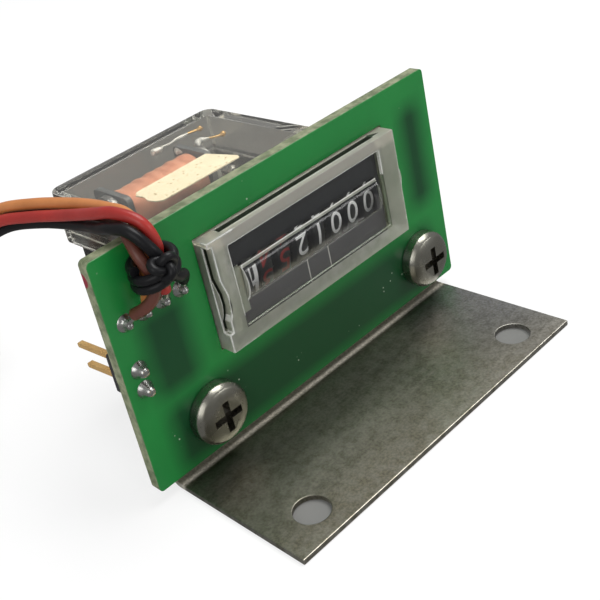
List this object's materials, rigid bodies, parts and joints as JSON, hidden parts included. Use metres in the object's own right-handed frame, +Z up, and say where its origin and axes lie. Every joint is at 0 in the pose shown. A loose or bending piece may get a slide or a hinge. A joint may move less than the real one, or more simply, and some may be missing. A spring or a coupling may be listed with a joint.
{
  "type": "hour meter",
  "caption": "Hour meter: clear-cased digit register with magnetic drive behind a small circuit board, on an angled steel bracket, with flying leads.",
  "frame": {"origin": "on the underside of the bracket's foot, midway between its two fixing holes", "axes": "+Z up from the foot along the board, +Y to the back of the meter, +X along the board's length, to the right when the digits are in front"},
  "size_m": [0.0566, 0.0899, 0.0355],
  "materials": {
    "bracket_steel": "tarnished nickel-plated sheet steel",
    "nickel": "nickel-plated steel",
    "plain_steel": "plain steel",
    "board_green": "green solder mask on glass-epoxy board",
    "board_brown": "brown paper-phenolic board",
    "clear_moulding": "clear moulded plastic, slightly frosted",
    "clear_case": "clear grey-tinted moulded plastic",
    "mask_grey": "dark grey plate",
    "black_plastic": "black plastic",
    "white_plastic": "natural white plastic",
    "wheel_black": "black plastic with white digits",
    "wheel_red": "black plastic with red digits",
    "brass": "turned and cut brass",
    "magnet": "dark sintered magnet",
    "bobbin_grey": "dark grey plastic",
    "copper": "enamelled copper wire",
    "tin": "solder and tinned metal",
    "gold": "gold-plated pin",
    "cream_paper": "cream insulating paper",
    "lead_brown": "brown insulation",
    "lead_orange": "orange insulation",
    "lead_red": "red insulation",
    "lead_black": "black insulation",
    "tie_black": "black tie"
  },
  "bodies": {
    "meter": {"bracket": "bracket_steel", "circuit_board": "board_green", "screw_left": "nickel", "screw_right": "nickel", "nut_left": "nickel", "nut_right": "nickel", "register_housing": "clear_moulding", "mask_plate": "mask_grey", "gear_plate": "white_plastic", "frame_plate_left": "black_plastic", "frame_plate_right": "black_plastic", "wheel_shaft": "plain_steel", "pinion_shaft": "plain_steel", "unit_ring": "wheel_black", "coil_bobbin": "bobbin_grey", "coil_inner_layers": "copper", "coil_winding": "copper", "coil_core": "plain_steel", "pole_plate_left": "plain_steel", "pole_plate_right": "plain_steel", "case_cover": "clear_case", "case_base": "clear_case", "inner_board": "board_brown", "driver_chip": "black_plastic", "quartz_crystal": "tin", "coil_lead_1": "tin", "coil_lead_2": "tin", "insulation_strip": "cream_paper", "header_body": "black_plastic", "header_pin_1": "gold", "header_pin_2": "gold", "lead_joint_1": "tin", "lead_joint_2": "tin", "lead_joint_3": "tin", "lead_joint_4": "tin", "lead_brown": "lead_brown", "lead_orange": "lead_orange", "lead_red": "lead_red", "lead_black": "lead_black", "lead_tie": "tie_black", "lead_connector": "white_plastic"},
    "first_wheel": {"number_wheel_1": "wheel_red", "drive_gear": "brass"},
    "wheel_2": {"number_wheel_2": "wheel_red"},
    "wheel_3": {"number_wheel_3": "wheel_black"},
    "wheel_4": {"number_wheel_4": "wheel_black"},
    "wheel_5": {"number_wheel_5": "wheel_black"},
    "wheel_6": {"number_wheel_6": "wheel_black"},
    "wheel_7": {"number_wheel_7": "wheel_black"},
    "pinion_1": {"transfer_pinion_1": "white_plastic"},
    "pinion_2": {"transfer_pinion_2": "white_plastic"},
    "pinion_3": {"transfer_pinion_3": "white_plastic"},
    "pinion_4": {"transfer_pinion_4": "white_plastic"},
    "pinion_5": {"transfer_pinion_5": "white_plastic"},
    "pinion_6": {"transfer_pinion_6": "white_plastic"},
    "reduction": {"reduction_gear": "brass"},
    "rotor": {"rotor": "magnet"}
  },
  "joints": [
    {"name": "first_wheel_turn", "type": "hinge", "parent": "meter", "child": "first_wheel", "pos_m": [-0.005, 0.0202, 0.0204], "axis": [1, 0, 0], "continuous": true},
    {"name": "wheel_2_turn", "type": "hinge", "parent": "meter", "child": "wheel_2", "pos_m": [-0.002, 0.0202, 0.0204], "axis": [1, 0, 0], "continuous": true},
    {"name": "wheel_3_turn", "type": "hinge", "parent": "meter", "child": "wheel_3", "pos_m": [0.001, 0.0202, 0.0204], "axis": [1, 0, 0], "continuous": true},
    {"name": "wheel_4_turn", "type": "hinge", "parent": "meter", "child": "wheel_4", "pos_m": [0.004, 0.0202, 0.0204], "axis": [1, 0, 0], "continuous": true},
    {"name": "wheel_5_turn", "type": "hinge", "parent": "meter", "child": "wheel_5", "pos_m": [0.007, 0.0202, 0.0204], "axis": [1, 0, 0], "continuous": true},
    {"name": "wheel_6_turn", "type": "hinge", "parent": "meter", "child": "wheel_6", "pos_m": [0.01, 0.0202, 0.0204], "axis": [1, 0, 0], "continuous": true},
    {"name": "wheel_7_turn", "type": "hinge", "parent": "meter", "child": "wheel_7", "pos_m": [0.013, 0.0202, 0.0204], "axis": [1, 0, 0], "continuous": true},
    {"name": "pinion_1_turn", "type": "hinge", "parent": "meter", "child": "pinion_1", "pos_m": [-0.0035, 0.02396, 0.01664], "axis": [1, 0, 0], "continuous": true},
    {"name": "pinion_2_turn", "type": "hinge", "parent": "meter", "child": "pinion_2", "pos_m": [-0.0005, 0.02396, 0.01664], "axis": [1, 0, 0], "continuous": true},
    {"name": "pinion_3_turn", "type": "hinge", "parent": "meter", "child": "pinion_3", "pos_m": [0.0025, 0.02396, 0.01664], "axis": [1, 0, 0], "continuous": true},
    {"name": "pinion_4_turn", "type": "hinge", "parent": "meter", "child": "pinion_4", "pos_m": [0.0055, 0.02396, 0.01664], "axis": [1, 0, 0], "continuous": true},
    {"name": "pinion_5_turn", "type": "hinge", "parent": "meter", "child": "pinion_5", "pos_m": [0.0085, 0.02396, 0.01664], "axis": [1, 0, 0], "continuous": true},
    {"name": "pinion_6_turn", "type": "hinge", "parent": "meter", "child": "pinion_6", "pos_m": [0.0115, 0.02396, 0.01664], "axis": [1, 0, 0], "continuous": true},
    {"name": "reduction_turn", "type": "hinge", "parent": "meter", "child": "reduction", "pos_m": [-0.0105, 0.02589, 0.0185], "axis": [1, 0, 0], "continuous": true},
    {"name": "rotor_turn", "type": "hinge", "parent": "meter", "child": "rotor", "pos_m": [-0.006, 0.03051, 0.0172], "axis": [1, 0, 0], "continuous": true}
  ],
  "couplings": [
    {"joint": "wheel_2_turn", "follows": "first_wheel_turn", "ratio": 0.1},
    {"joint": "wheel_3_turn", "follows": "first_wheel_turn", "ratio": 0.01},
    {"joint": "wheel_4_turn", "follows": "first_wheel_turn", "ratio": 0.001},
    {"joint": "wheel_5_turn", "follows": "first_wheel_turn", "ratio": 0.0001},
    {"joint": "wheel_6_turn", "follows": "first_wheel_turn", "ratio": 0.00001},
    {"joint": "wheel_7_turn", "follows": "first_wheel_turn", "ratio": 0.000001},
    {"joint": "pinion_1_turn", "follows": "first_wheel_turn", "ratio": -0.25},
    {"joint": "pinion_2_turn", "follows": "first_wheel_turn", "ratio": -0.025},
    {"joint": "pinion_3_turn", "follows": "first_wheel_turn", "ratio": -0.0025},
    {"joint": "pinion_4_turn", "follows": "first_wheel_turn", "ratio": -0.00025},
    {"joint": "pinion_5_turn", "follows": "first_wheel_turn", "ratio": -0.000025},
    {"joint": "pinion_6_turn", "follows": "first_wheel_turn", "ratio": -0.0000025},
    {"joint": "reduction_turn", "follows": "first_wheel_turn", "ratio": -4},
    {"joint": "rotor_turn", "follows": "first_wheel_turn", "ratio": 12}
  ]
}
